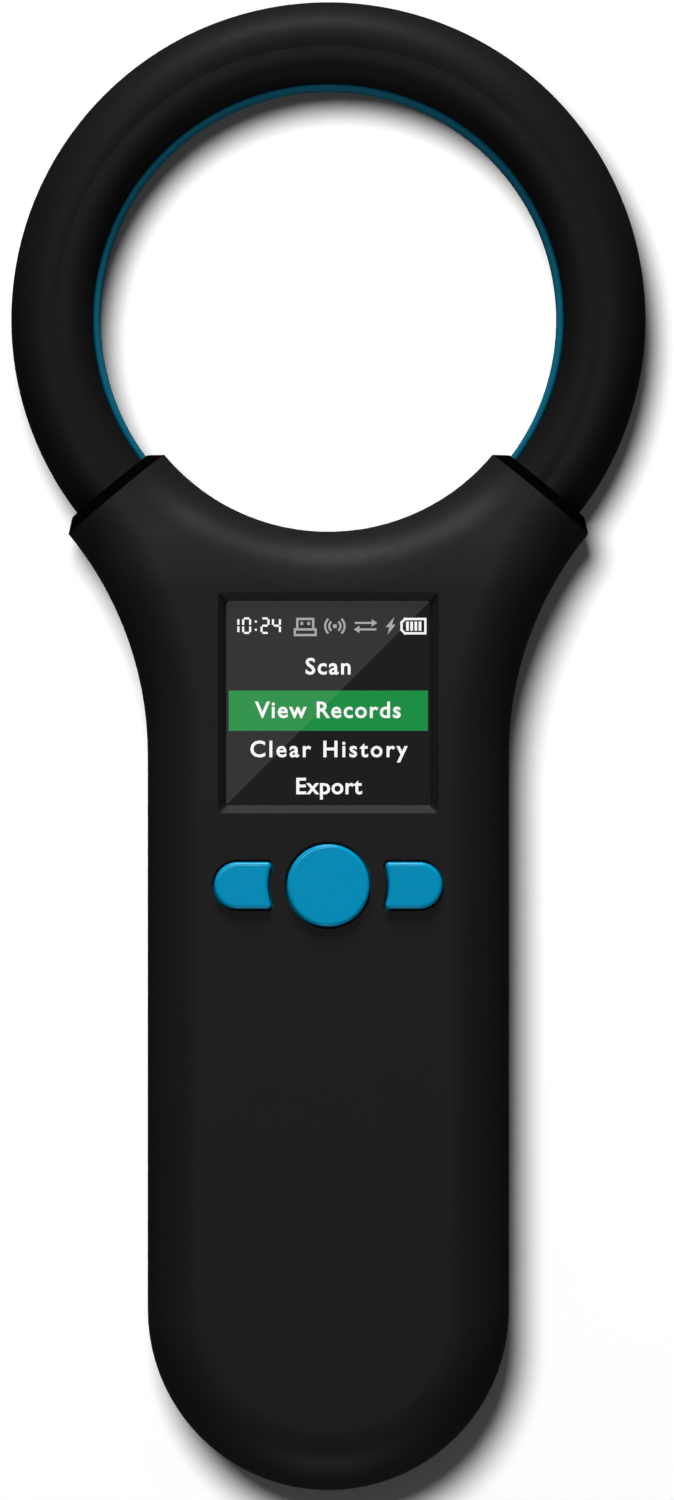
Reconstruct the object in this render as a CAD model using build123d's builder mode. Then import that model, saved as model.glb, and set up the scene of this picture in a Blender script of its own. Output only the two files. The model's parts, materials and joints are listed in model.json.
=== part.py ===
from build123d import *
from math import acos, atan2, cos, degrees, radians, sin, sqrt
import os

# A hand-held reader for animal microchips: a ring that holds the antenna coil, on a handle
# with a small display, a round select key and two side keys.
# It lies on its back: +Z is the front face with the display, +Y points to the ring.
# Every size is in millimetres. The origin is on the surface it lies on, under its middle.

# ---- driving sizes of the housing ----
overall_length = 202.0
body_depth = 26.0
handle_width = 49.0
neck_depth = 21.0
ring_outer_r = 43.1
ring_inner_r = 32.0
collar_wall = 2.7
neck_reach_in = 3.1
flank_r = 47.0
edge_round = 8.0
wall = 2.2
taper_drop = 36.4
taper_length = 15.0

# ---- the ring's tube, heights over the parting plane ----
crown_inset = 4.9
crown_height = 7.6
rim_height = 1.0
crease_inset = 6.2
crease_height = 7.47
inner_crown_inset = 3.7
inner_crown_height = 7.5
inner_rim_height = 3.4
tube_wall = 1.8
tube_roof = 3.0
tube_room_round = 2.0
ring_lap = 12.4
flange_lip = 0.55
flange_angle = 2.0
flange_slack = 0.3
land_angle = 8.9
seal_length = 1.4
seal_inset = 1.8

# ---- the coloured band that lines the ring's hole ----
band_thickness = 1.0
band_round = 0.45
band_half_height = 3.2
web_half_height = 1.4
web_depth = 2.6

# ---- fits ----
slide_gap = 0.15
seam_gap = 0.1
hole_gap = 0.3
seam_groove_depth = 0.35
seam_groove_half = 0.2
tongue_height = 1.5
ring_tongue_width = 0.6
ring_tongue_height = 0.8

# ---- antenna ----
hub_inset = 3.0
hub_thickness = 1.2
winding_depth = 1.6
winding_half_height = 2.2
former_flange = 1.1
former_lip = 1.7

# ---- display ----
display_drop = 52.15
view_size = 27.6
bezel_flare = 1.1
bezel_corner_r = 0.5
window_lap = 1.7
window_thickness = 1.2
gasket_inset = 0.3
gasket_thickness = 0.5
panel_lap = 1.4
panel_thickness = 1.5
panel_shift = 0.6
panel_short = 1.6
glass_margin = 0.6
glass_thickness = 0.3
carrier_thickness = 1.3
carrier_margin = 0.2
carrier_rim = 5.9
ribbon_width = 10.0
ribbon_thickness = 0.15
ribbon_bend_r = 0.6
ribbon_run = 8.0
connector_width = 12.0
connector_length = 4.0

# ---- keys ----
keys_drop = 76.8
key_proud = 1.0
key_edge_round = 0.5
key_travel = 0.8
key_gap = 0.3
key_flange = 0.8
key_flange_thickness = 1.1
key_flange_gap = 0.1
select_key_r = 5.575
side_key_inner_r = 8.15
side_key_reach = 15.4
side_key_height = 6.3
plunger_rs = {"select": 2.5, "left": 2.0, "right": 2.0}
pill_thickness = 0.3
pad_r = 2.0
pad_thickness = 0.04
press_gap = 0.01
mat_thickness = 0.8
mat_margin = 2.1
dome_foot_r = 4.15
dome_top_r = 3.15
dome_wall = 0.4
dome_gap = 0.05

# ---- main board and what hangs under it ----
board_thickness = 1.6
board_edge_gap = 1.8
board_neck_width = 34.4
board_neck_drop = 49.9
board_top_gap = 2.8
board_end_rise = 14.5
board_post_r = 2.2
board_post_inset = 4.1
board_post_drop = 14.1
board_post_rise = 3.0
board_screw_r = 0.9
board_screw_head_r = 1.7
board_screw_head = 1.3
board_screw_length = 4.4
radio_width = 12.0
radio_length = 16.0
radio_thickness = 0.8
radio_can_height = 1.6
radio_can_margin = 0.5
radio_antenna_length = 5.0
radio_gap = 0.5
radio_rise = 13.0
plug_width = 8.0
plug_length = 5.0
plug_height = 4.0
antenna_plug_x = 10.0
battery_plug_x = 6.0
battery_plug_reach = 13.1
harness_plug_width = 6.0
harness_plug_height = 3.0

# ---- chips under the board: width, length and height ----
processor_size = (9.0, 9.0, 1.0)
processor_x = 6.0
processor_rise = 22.0
memory_size = (5.0, 6.0, 0.8)
memory_x = 12.0
memory_rise = 10.0
reader_size = (6.0, 6.0, 0.9)
reader_x = -9.0
crystal_size = (3.2, 5.0, 0.8)
crystal_x = -1.0
passive_size = (1.6, 0.8)
passive_height = 0.6
passive_pitch = (3.2, 3.0)
passive_counts = (8, 3)

# ---- case screws: each pair's distance in from the sides, and its place along the handle ----
neck_screw_inset = 4.3
neck_screw_drop = 43.4
middle_screw_x = 13.0
middle_screw_drop = 10.6
end_screw_inset = 13.0
end_screw_gap = 3.7
front_boss_r = 2.5
back_boss_r = 3.3
screw_shank_r = 1.1
screw_head_r = 2.0
screw_head_height = 1.6
screw_recess_depth = 5.0
screw_length = 13.0
slot_length_share = 1.3
slot_width_share = 0.3

# ---- battery ----
battery_width = 30.0
battery_thickness = 10.0
battery_round = 2.0
battery_rise = 24.0
battery_gap = 4.2
battery_pad_thickness = 0.6
battery_pad_inset = 2.5

# ---- speaker ----
speaker_rise = 10.9
speaker_r = 7.5
speaker_height = 4.0
speaker_dust_cap_r = 2.5
speaker_cone_depth = 1.0
grille_hole_r = 0.7
grille_ring_r = 3.4
grille_holes = 6
cradle_wall = 1.0
cradle_height = 2.5

# ---- charging port ----
usb_width = 8.94
usb_height = 3.26
usb_depth = 7.35
usb_metal = 0.3
usb_recess = 0.7
usb_slot_gap = 0.35
usb_tongue_width = 6.7
usb_tongue_thickness = 0.7
usb_tongue_inset = 1.2
usb_board_width = 15.0
usb_board_length = 12.5
usb_board_thickness = 1.2
usb_board_edge = 4.5
usb_post_x = 5.3
usb_post_inset = 2.6
usb_post_r = 1.9
usb_screw_r = 0.8
usb_screw_head_r = 1.4
usb_screw_head = 0.9
usb_screw_length = 4.0

# ---- wires ----
lead_r = 0.4
lead_spacing = 2.4
lead_bend_r = 2.4
lead_run = 3.5
harness_width = 5.0
harness_thickness = 0.8
harness_bend_r = 1.2
harness_run = 3.0
harness_lift = 2.5

# ---- radii and heights of the housing ----
parting_z = body_depth / 2
wall_inside_z = body_depth - wall
crown_r = ring_outer_r - crown_inset
crease_r = ring_outer_r - crease_inset
inner_crown_r = ring_inner_r + inner_crown_inset
band_inner_r = ring_inner_r - band_thickness
neck_inner_r = ring_inner_r - neck_reach_in
collar_outer_r = ring_outer_r + collar_wall
coil_room_inner_r = ring_inner_r + tube_wall
coil_room_outer_r = ring_outer_r - tube_wall
coil_room_height = crown_height - tube_roof

# ---- places along the handle ----
ring_y = overall_length / 2 - ring_outer_r
end_y = -overall_length / 2 + handle_width / 2
taper_start_y = ring_y - taper_drop
display_y = ring_y - display_drop
keys_y = ring_y - keys_drop
board_top_y = ring_y - neck_inner_r - wall - board_top_gap
board_neck_y = ring_y - board_neck_drop
board_end_y = end_y + board_end_rise
speaker_y = keys_y + speaker_rise
radio_y = board_end_y + radio_rise

# ---- the collars: the flank's arc touches the collar's arc and the handle's side ----
flank_x = handle_width / 2 + flank_r
collar_angle = degrees(acos(flank_x / (collar_outer_r + flank_r)))
flank_y = ring_y - (collar_outer_r + flank_r) * sin(radians(collar_angle))
ring_end_angle = collar_angle + ring_lap
land_end_angle = collar_angle + land_angle

# ---- antenna ----
hub_inner_r = ring_inner_r + hub_inset
winding_inner_r = hub_inner_r + hub_thickness
winding_outer_r = winding_inner_r + winding_depth
former_outer_r = winding_outer_r + former_lip
former_half_height = winding_half_height + former_flange

# ---- the stack behind the front wall, from the window down to the board ----
window_size = view_size + 2 * window_lap
view_z = wall_inside_z + window_thickness
gasket_z = wall_inside_z - gasket_thickness
panel_z = gasket_z - panel_thickness
carrier_z = panel_z - carrier_thickness
board_z = carrier_z - board_thickness
panel_width = window_size + 2 * panel_lap
panel_length = panel_width - panel_short
panel_y = display_y - panel_shift
panel_end_y = panel_y - panel_length / 2
connector_y = panel_end_y + ribbon_run + connector_length / 2

# ---- keys ----
side_key_x = (side_key_inner_r + side_key_reach) / 2
key_xs = {"select": 0.0, "left": -side_key_x, "right": side_key_x}
key_bottom_z = wall_inside_z - key_flange_gap - key_flange_thickness
pill_z = carrier_z + pad_thickness + press_gap + key_travel
plunger_z = pill_z + pill_thickness

# ---- battery, from the port's room up to the middle bosses, and charging port ----
middle_screw_y = keys_y - middle_screw_drop
battery_low_y = battery_rise - overall_length / 2
battery_high_y = middle_screw_y - back_boss_r - battery_gap
end_screw_y = battery_low_y - end_screw_gap - back_boss_r
battery_length = battery_high_y - battery_low_y
battery_y = (battery_low_y + battery_high_y) / 2
battery_z = wall + battery_pad_thickness
battery_front_z = battery_z + battery_thickness
usb_front_y = -overall_length / 2 + usb_recess
usb_board_z = parting_z - usb_height / 2 - usb_board_thickness
usb_board_top_z = usb_board_z + usb_board_thickness
usb_board_front_y = -overall_length / 2 + usb_board_edge
usb_board_back_y = usb_board_front_y + usb_board_length

# ---- posts, radio and plugs of the board ----
board_post_x = handle_width / 2 - wall - board_post_inset
radio_x = radio_width / 2 + radio_gap + board_post_r - board_post_x
antenna_plug_y = ring_y - board_neck_drop - plug_length
battery_plug_y = battery_high_y + battery_plug_reach
harness_plug_y = board_end_y + plug_length
plug_side_z = board_z - plug_height / 2
harness_plug_z = board_z - harness_plug_height / 2


def both_sides(*places):
    """Each place and its mirror image in the left half."""
    return [(side * x, y) for x, y in places for side in (-1, 1)]


case_screw_places = both_sides(
    (handle_width / 2 - neck_screw_inset, ring_y - neck_screw_drop),
    (middle_screw_x, middle_screw_y),
    (handle_width / 2 - end_screw_inset, end_screw_y),
)
board_post_places = both_sides(
    (board_post_x, keys_y - board_post_drop),
    (board_post_x, board_end_y + board_post_rise),
)
usb_post_places = both_sides((usb_post_x, usb_board_back_y - usb_post_inset))
key_places = [(x, keys_y) for x in key_xs.values()]

# ---- tools of the model ----
plug_size = (plug_width, plug_length, plug_height)
harness_plug_size = (harness_plug_width, plug_length, harness_plug_height)
radio_size = (radio_width, radio_length, radio_thickness)
length_tolerance = 1e-6
angle_tolerance = 1e-3
parting_plane = Plane.XY.offset(parting_z)
ring_axis = Axis((0, ring_y, 0), (0, 0, 1))
standing = (Align.CENTER, Align.CENTER, Align.MIN)


def save(piece, name):
    """Label one finished sub-part and write it to its own file."""
    piece.part.label = name
    export_step(piece.part, f"parts/{name}.step")


# ---------------------------------------------------------------- shared geometry


def around_ring(radius, angle):
    """The point at a radius and an angle about the ring's centre, in plan."""
    return Vector(radius * cos(radians(angle)), ring_y + radius * sin(radians(angle)))


def ring_plane(angle):
    """A plane through the ring's axis: x is the radius, y the height over the parting plane."""
    along = Vector(cos(radians(angle)), sin(radians(angle)), 0)
    return Plane(origin=(0, ring_y, parting_z), x_dir=along, z_dir=(along.Y, -along.X, 0))


def plan_outline(inset):
    """Plan of handle, neck and collars, moved in by an inset. The arms end on radial lines."""
    half = handle_width / 2 - inset
    inner = neck_inner_r + inset
    arm_in = around_ring(inner, -collar_angle)
    arm_out = around_ring(collar_outer_r - inset, -collar_angle)
    flank_start = degrees(atan2(arm_out.Y - flank_y, arm_out.X - flank_x))
    with BuildSketch() as plan:
        with BuildLine():
            CenterArc((0, ring_y), inner, -90, 90 - collar_angle)
            Line(arm_in, arm_out)
            CenterArc((flank_x, flank_y), flank_r + inset, flank_start, 180 - flank_start)
            Line((half, flank_y), (half, end_y))
            CenterArc((0, end_y), half, 0, -90)
            mirror(about=Plane.YZ)
        make_face()
    return plan.sketch


def side_profile(inset):
    """Side view of the front half: full depth along the handle, easing down to the neck."""
    tall = parting_z + body_depth / 2 - inset
    low = parting_z + neck_depth / 2 - inset
    taper_end_y = taper_start_y + taper_length
    middle = ((taper_start_y + taper_end_y) / 2, (tall + low) / 2)
    with BuildSketch() as side:
        with BuildLine():
            Line((-overall_length, parting_z), (-overall_length, tall))
            Line((-overall_length, tall), (taper_start_y, tall))
            fall = TangentArc((taper_start_y, tall), middle, tangent=(1, 0))
            TangentArc(middle, (taper_end_y, low), tangent=fall % 1)
            Line((taper_end_y, low), (overall_length, low))
            Line((overall_length, low), (overall_length, parting_z))
            Line((overall_length, parting_z), (-overall_length, parting_z))
        make_face()
    return side.sketch


def on_arm_end(edge):
    """True for an edge that lies in the flat end of a collar."""
    points = [edge @ t for t in (0, 0.5, 1)]
    angles = [-degrees(atan2(point.Y - ring_y, abs(point.X))) for point in points]
    return all(abs(angle - collar_angle) < angle_tolerance for angle in angles)


def is_rim(edge):
    """True for the edges round the front face that are rounded off."""
    if edge.center().Z < parting_z + wall or on_arm_end(edge):
        return False
    start, end = edge @ 0, edge @ 1
    if edge.geom_type != GeomType.LINE or abs(start.Y - end.Y) > length_tolerance:
        return True
    across = abs(start.Z - end.Z) < length_tolerance
    upright = abs(start.X - end.X) < length_tolerance
    return not (across or upright)


def rounded_block(inset):
    """Handle, neck and collars as one rounded solid, moved in by an inset."""
    with BuildPart() as block:
        with BuildSketch():
            add(plan_outline(inset))
        extrude(amount=body_depth)
        with BuildSketch(Plane.YZ.offset(-overall_length)):
            add(side_profile(inset))
        extrude(amount=2 * overall_length, mode=Mode.INTERSECT)
        fillet([edge for edge in block.edges() if is_rim(edge)], radius=edge_round - inset)
        mirror(about=parting_plane)
    return block.part


def arm_wedge(first_angle, last_angle):
    """A full-depth wedge over both collars, between two angles below level."""
    far = 2 * collar_outer_r
    with BuildPart() as wedge:
        with BuildSketch():
            with BuildLine():
                Polyline(
                    (0, ring_y),
                    around_ring(far, -first_angle),
                    around_ring(far, -last_angle),
                    close=True,
                )
            make_face()
            mirror(about=Plane.YZ)
        extrude(amount=body_depth)
    return wedge.part


def tube_half(gap):
    """Outer section of the tube's front half, moved out by a gap."""
    outer = ring_outer_r + gap
    inner = ring_inner_r - gap
    crown = crown_height + gap
    crease = (crease_r, crease_height + gap)
    inner_crown = inner_crown_height + gap
    with BuildSketch() as section:
        with BuildLine():
            Line((inner, 0), (outer, 0))
            Line((outer, 0), (outer, rim_height))
            EllipticalCenterArc((crown_r, rim_height), outer - crown_r, crown - rim_height, 0, arc_size=90)
            TangentArc((crown_r, crown), crease, tangent=(-1, 0))
            TangentArc((inner_crown_r, inner_crown), crease, tangent=(1, 0))
            EllipticalCenterArc(
                (inner_crown_r, inner_rim_height),
                inner_crown_r - inner,
                inner_crown - inner_rim_height,
                90,
                arc_size=90,
            )
            Line((inner, inner_rim_height), (inner, 0))
        make_face()
    return section.sketch


def ring_block(inner, outer, bottom, top):
    """A rectangle in a ring section, between two radii and two heights."""
    with BuildSketch() as block:
        with Locations(((inner + outer) / 2, (bottom + top) / 2)):
            Rectangle(outer - inner, top - bottom)
    return block.sketch


def ring_bore(gap):
    """The space of the ring's tube and its inner band, made larger all round by a gap."""
    with BuildPart() as bore:
        with BuildSketch(ring_plane(-ring_end_angle)):
            add(tube_half(gap))
            add(ring_block(band_inner_r - gap, ring_inner_r, 0, band_half_height + gap))
        revolve(axis=ring_axis, revolution_arc=180 + 2 * ring_end_angle)
        mirror(about=parting_plane)
    return bore.part


def lip_room():
    """The room behind the collars' lands for the lips on the ring's ends."""
    first_angle = flange_angle / 2 - ring_end_angle - flange_slack
    with BuildPart() as room:
        with BuildSketch(ring_plane(first_angle)):
            add(tube_half(flange_lip + hole_gap))
        revolve(axis=ring_axis, revolution_arc=flange_angle + 2 * flange_slack)
        mirror(about=Plane.YZ)
        mirror(about=parting_plane)
    return room.part


def inner_room():
    """The hollow inside the handle. Solid lands stay in the collars, round the tube."""
    with BuildPart() as room:
        add(rounded_block(wall))
        add(arm_wedge(0, land_end_angle), mode=Mode.SUBTRACT)
    return room.part


def port_plane(y):
    """An upright plane across the handle at the port's height, facing up the handle."""
    return Plane(origin=(0, y, parting_z), x_dir=(1, 0, 0), z_dir=(0, 1, 0))


def usb_opening():
    """The slot in the handle's end for the charging socket."""
    with BuildPart() as opening:
        with BuildSketch(port_plane(-overall_length / 2 - wall)):
            SlotOverall(usb_width + 2 * usb_slot_gap, usb_height + 2 * usb_slot_gap)
        extrude(amount=3 * wall)
    return opening.part


def seam_groove(side):
    """The shallow shadow line round the outside of the parting, on one side of it."""
    with BuildPart() as groove:
        with BuildSketch(parting_plane):
            add(plan_outline(0))
            add(plan_outline(seam_groove_depth), mode=Mode.SUBTRACT)
        extrude(amount=side * seam_groove_half)
    return groove.part


def wall_strip(first_inset, depth):
    """A strip down from the parting plane, from one inset to the wall's inner face."""
    with BuildPart() as strip:
        with BuildSketch(parting_plane):
            add(plan_outline(first_inset))
            add(plan_outline(wall), mode=Mode.SUBTRACT)
        extrude(amount=-depth)
    return strip.part


def side_key_outline(grow):
    """Plan of the right side key: hollow towards the select key, round at its far end."""
    half = side_key_height / 2 + grow
    inner = side_key_inner_r - grow
    horn_x = sqrt(inner**2 - half**2)
    end_x = side_key_reach - side_key_height / 2
    with BuildSketch() as outline:
        with BuildLine():
            ThreePointArc((horn_x, keys_y + half), (inner, keys_y), (horn_x, keys_y - half))
            Line((horn_x, keys_y - half), (end_x, keys_y - half))
            CenterArc((end_x, keys_y), half, -90, 180)
            Line((end_x, keys_y + half), (horn_x, keys_y + half))
        make_face()
        fillet(outline.vertices().sort_by(Axis.X)[:2], radius=key_edge_round + grow)
    return outline.sketch


def key_outline(name, grow):
    """Plan of one key, made larger all round by an amount."""
    with BuildSketch() as outline:
        if name == "select":
            with Locations((0, keys_y)):
                Circle(select_key_r + grow)
        elif name == "right":
            add(side_key_outline(grow))
        else:
            mirror(side_key_outline(grow), about=Plane.YZ)
    return outline.sketch


# ---------------------------------------------------------------- housing


def front_shell():
    """Front half of the handle: display bezel, key holes, screw bosses and board posts."""
    boss_top_z = wall_inside_z + wall / 2
    with BuildPart() as shell:
        add(rounded_block(0))
        add(inner_room(), mode=Mode.SUBTRACT)
        split(bisect_by=parting_plane, keep=Keep.TOP)
        add(seam_groove(1), mode=Mode.SUBTRACT)
        add(wall_strip(wall / 2 + seam_gap, tongue_height))
        add(ring_bore(slide_gap), mode=Mode.SUBTRACT)
        add(lip_room(), mode=Mode.SUBTRACT)
        add(usb_opening(), mode=Mode.SUBTRACT)
        # the bezel opening, wider at the front
        with BuildSketch(Plane.XY.offset(view_z)):
            with Locations((0, display_y)):
                RectangleRounded(view_size, view_size, bezel_corner_r)
        with BuildSketch(Plane.XY.offset(body_depth)):
            with Locations((0, display_y)):
                flared = view_size + 2 * bezel_flare
                RectangleRounded(flared, flared, bezel_corner_r)
        loft(mode=Mode.SUBTRACT)
        # the pocket for the window, from inside
        with BuildSketch(Plane.XY.offset(wall_inside_z)):
            with Locations((0, display_y)):
                pocket = window_size + 2 * seam_gap
                RectangleRounded(pocket, pocket, bezel_corner_r)
        extrude(amount=window_thickness, mode=Mode.SUBTRACT)
        with BuildSketch(Plane.XY.offset(wall_inside_z)):
            for name in key_xs:
                add(key_outline(name, key_gap))
        extrude(amount=wall, mode=Mode.SUBTRACT)
        # bosses for the case screws
        with BuildSketch(parting_plane):
            with Locations(case_screw_places):
                Circle(front_boss_r)
        extrude(amount=boss_top_z - parting_z)
        with BuildSketch(parting_plane):
            with Locations(case_screw_places):
                Circle(screw_shank_r + slide_gap)
        extrude(amount=screw_recess_depth + screw_length + slide_gap - parting_z, mode=Mode.SUBTRACT)
        # posts for the board screws
        with BuildSketch(Plane.XY.offset(carrier_z)):
            with Locations(board_post_places):
                Circle(board_post_r)
        extrude(amount=boss_top_z - carrier_z)
        with BuildSketch(Plane.XY.offset(carrier_z)):
            with Locations(board_post_places):
                Circle(board_screw_r + slide_gap)
        extrude(amount=board_screw_length + slide_gap - board_thickness, mode=Mode.SUBTRACT)
    save(shell, "front_shell")


def back_shell():
    """Back half of the handle: screw recesses, battery ribs, speaker grille and port posts."""
    root_z = wall / 2
    rib_x = (battery_width + cradle_wall) / 2 + hole_gap
    with BuildPart() as shell:
        add(rounded_block(0))
        add(inner_room(), mode=Mode.SUBTRACT)
        split(bisect_by=parting_plane, keep=Keep.BOTTOM)
        add(seam_groove(-1), mode=Mode.SUBTRACT)
        add(ring_bore(slide_gap), mode=Mode.SUBTRACT)
        add(lip_room(), mode=Mode.SUBTRACT)
        add(usb_opening(), mode=Mode.SUBTRACT)
        # bosses for the case screws, with a recess for each head
        with BuildSketch(Plane.XY.offset(root_z)):
            with Locations(case_screw_places):
                Circle(back_boss_r)
        extrude(amount=parting_z - root_z)
        with BuildSketch():
            with Locations(case_screw_places):
                Circle(screw_head_r + hole_gap)
        extrude(amount=screw_recess_depth, mode=Mode.SUBTRACT)
        with BuildSketch():
            with Locations(case_screw_places):
                Circle(screw_shank_r + slide_gap)
        extrude(amount=parting_z, mode=Mode.SUBTRACT)
        # ribs along the battery's sides
        with BuildSketch(Plane.XY.offset(root_z)):
            with Locations((-rib_x, battery_y), (rib_x, battery_y)):
                Rectangle(cradle_wall, battery_length)
        extrude(amount=battery_z + battery_thickness / 2 - root_z)
        # the speaker's cradle and grille
        with BuildSketch(Plane.XY.offset(root_z)):
            with Locations((0, speaker_y)):
                Circle(speaker_r + slide_gap + cradle_wall)
                Circle(speaker_r + slide_gap, mode=Mode.SUBTRACT)
        extrude(amount=wall - root_z + cradle_height)
        with BuildSketch():
            with Locations((0, speaker_y)):
                Circle(grille_hole_r)
                with PolarLocations(grille_ring_r, grille_holes):
                    Circle(grille_hole_r)
        extrude(amount=wall, mode=Mode.SUBTRACT)
        # posts under the charging port's board
        with BuildSketch(Plane.XY.offset(root_z)):
            with Locations(usb_post_places):
                Circle(usb_post_r)
        extrude(amount=usb_board_z - root_z)
        with BuildSketch(Plane.XY.offset(usb_board_z)):
            with Locations(usb_post_places):
                Circle(usb_screw_r + slide_gap)
        extrude(amount=-usb_screw_length, mode=Mode.SUBTRACT)
        # the groove for the front shell's tongue, through any boss that reaches the wall
        add(wall_strip(wall / 2, tongue_height + seam_gap), mode=Mode.SUBTRACT)
    save(shell, "back_shell")


def coil_room():
    """The hollow in the ring's front half, with the two corners under its roof rounded."""
    with BuildSketch() as room:
        add(ring_block(coil_room_inner_r, coil_room_outer_r, 0, coil_room_height))
        fillet(room.vertices().sort_by(Axis.Y)[-2:], radius=tube_room_round)
    return room.sketch


def tube_shell_section(gap):
    """Wall section of the ring's front half: room for the coil, and a slot for the band's web."""
    web_top = web_half_height + seam_gap
    with BuildSketch() as section:
        add(tube_half(gap))
        add(coil_room(), mode=Mode.SUBTRACT)
        add(ring_block(band_inner_r, coil_room_inner_r, 0, web_top), mode=Mode.SUBTRACT)
    return section.sketch


def ring_half():
    """Front half of the ring's tube, with a lip at each end that locks behind a collar's land."""
    groove_inner_r = ring_outer_r - seam_groove_depth
    with BuildPart() as lips:
        with BuildSketch(ring_plane(flange_angle / 2 - ring_end_angle)):
            add(tube_shell_section(flange_lip))
        revolve(axis=ring_axis, revolution_arc=flange_angle)
        mirror(about=Plane.YZ)
    with BuildPart() as half:
        with BuildSketch(ring_plane(-ring_end_angle)):
            add(tube_shell_section(0))
            add(ring_block(groove_inner_r, ring_outer_r, 0, seam_groove_half), mode=Mode.SUBTRACT)
        revolve(axis=ring_axis, revolution_arc=180 + 2 * ring_end_angle)
        add(lips.part)
    return half.part


def ring_tongue(grow):
    """The ring's locating tongue, down from the parting plane, made larger by an amount."""
    middle_r = ring_outer_r - tube_wall / 2
    half = ring_tongue_width / 2 + grow
    with BuildPart() as tongue:
        with BuildSketch(ring_plane(-ring_end_angle)):
            add(ring_block(middle_r - half, middle_r + half, -ring_tongue_height - grow, 0))
        revolve(axis=ring_axis, revolution_arc=180 + 2 * ring_end_angle)
    return tongue.part


def ring_front_shell():
    """Front half of the ring, with the locating tongue."""
    with BuildPart() as shell:
        add(ring_half())
        add(ring_tongue(0))
    save(shell, "ring_front_shell")


def ring_back_shell():
    """Back half of the ring, with the groove for the tongue."""
    with BuildPart() as shell:
        mirror(ring_half(), about=parting_plane)
        add(ring_tongue(seam_gap), mode=Mode.SUBTRACT)
    save(shell, "ring_back_shell")


def ring_inner_band():
    """The coloured band in the ring's hole, held by a web between the two halves of the ring."""
    web_root_r = ring_inner_r - band_thickness / 2
    web_end_r = ring_inner_r + web_depth
    with BuildPart() as band:
        with BuildSketch(ring_plane(-land_end_angle)) as section:
            add(ring_block(band_inner_r, ring_inner_r, -band_half_height, band_half_height))
            fillet(section.vertices(), radius=band_round)
            add(ring_block(web_root_r, web_end_r, -web_half_height, web_half_height))
        revolve(axis=ring_axis, revolution_arc=180 + 2 * land_end_angle)
    save(band, "ring_inner_band")


def collar_seals():
    """The two soft seals that lead from the flat end of each collar down to the ring's tube."""
    width = collar_outer_r - neck_inner_r
    middle = around_ring(neck_inner_r + width / 2, -collar_angle)
    along = ring_plane(-collar_angle).x_dir
    end = Plane(origin=(middle.X, middle.Y, parting_z), x_dir=along, z_dir=(-along.Y, along.X, 0))
    step = 2 * seal_inset
    with BuildPart() as seals:
        with BuildSketch(end):
            RectangleRounded(width, neck_depth, edge_round)
        with BuildSketch(end.offset(seal_length)):
            RectangleRounded(width - step, neck_depth - step, edge_round - seal_inset)
        loft()
        mirror(about=Plane.YZ)
        add(ring_bore(press_gap), mode=Mode.SUBTRACT)
    save(seals, "collar_seals")


# ---------------------------------------------------------------- antenna


def coil_former():
    """The spool that carries the antenna winding, all the way round through ring and neck."""
    with BuildPart() as former:
        with BuildSketch(ring_plane(0)):
            add(ring_block(hub_inner_r, winding_inner_r, -former_half_height, former_half_height))
            add(ring_block(hub_inner_r, former_outer_r, winding_half_height, former_half_height))
            add(ring_block(hub_inner_r, former_outer_r, -former_half_height, -winding_half_height))
        revolve(axis=ring_axis)
    save(former, "coil_former")


def antenna_coil():
    """The winding, as one closed ring of wire."""
    with BuildPart() as coil:
        with BuildSketch(ring_plane(0)):
            add(ring_block(
                winding_inner_r, winding_outer_r, -winding_half_height, winding_half_height
            ))
        revolve(axis=ring_axis)
    save(coil, "antenna_coil")


def lead_pair(name, centre_x, points):
    """Two wires side by side along one route in an upright plane, given as (y, z) points."""
    with BuildPart() as leads:
        for side in (-1, 1):
            lead_x = centre_x + side * lead_spacing / 2
            with BuildLine() as route:
                FilletPolyline([(lead_x, y, z) for y, z in points], radius=lead_bend_r)
            with BuildSketch(Plane(origin=route.line @ 0, z_dir=route.line % 0)):
                Circle(lead_r)
            sweep(path=route.line)
    save(leads, name)


def coil_leads():
    """The two ends of the winding, from between the spool's flanges to the antenna plug."""
    reach = sqrt(winding_outer_r**2 - (antenna_plug_x + lead_spacing) ** 2)
    coil_y = ring_y - reach - 3 * lead_r
    coil_z = parting_z + winding_half_height / 2
    plug_end_y = antenna_plug_y + plug_length / 2
    lead_pair("coil_leads", antenna_plug_x, [
        (plug_end_y, plug_side_z),
        (plug_end_y + lead_run, plug_side_z),
        (coil_y - lead_run, coil_z),
        (coil_y, coil_z),
    ])


def battery_leads():
    """The two battery wires, from the cell's end up to the battery plug."""
    plug_end_y = battery_plug_y - plug_length / 2
    cell_z = battery_z + battery_thickness / 2
    lead_pair("battery_leads", battery_plug_x, [
        (battery_high_y, cell_z),
        (battery_high_y + lead_run, cell_z),
        (plug_end_y - lead_run, plug_side_z),
        (plug_end_y, plug_side_z),
    ])


def speaker_leads():
    """The two speaker wires, over the cradle and straight up to the board."""
    can_y = speaker_y - speaker_r
    wire_z = wall + speaker_height - 2 * lead_r
    lead_pair("speaker_leads", 0, [
        (can_y, wire_z),
        (can_y - lead_run - cradle_wall, wire_z),
        (can_y - lead_run - cradle_wall, board_z),
    ])


# ---------------------------------------------------------------- display


def display_window():
    """The clear cover behind the bezel."""
    with BuildPart() as window:
        with BuildSketch(Plane.XY.offset(wall_inside_z)):
            with Locations((0, display_y)):
                RectangleRounded(window_size, window_size, bezel_corner_r)
        extrude(amount=window_thickness)
    save(window, "display_window")


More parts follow.
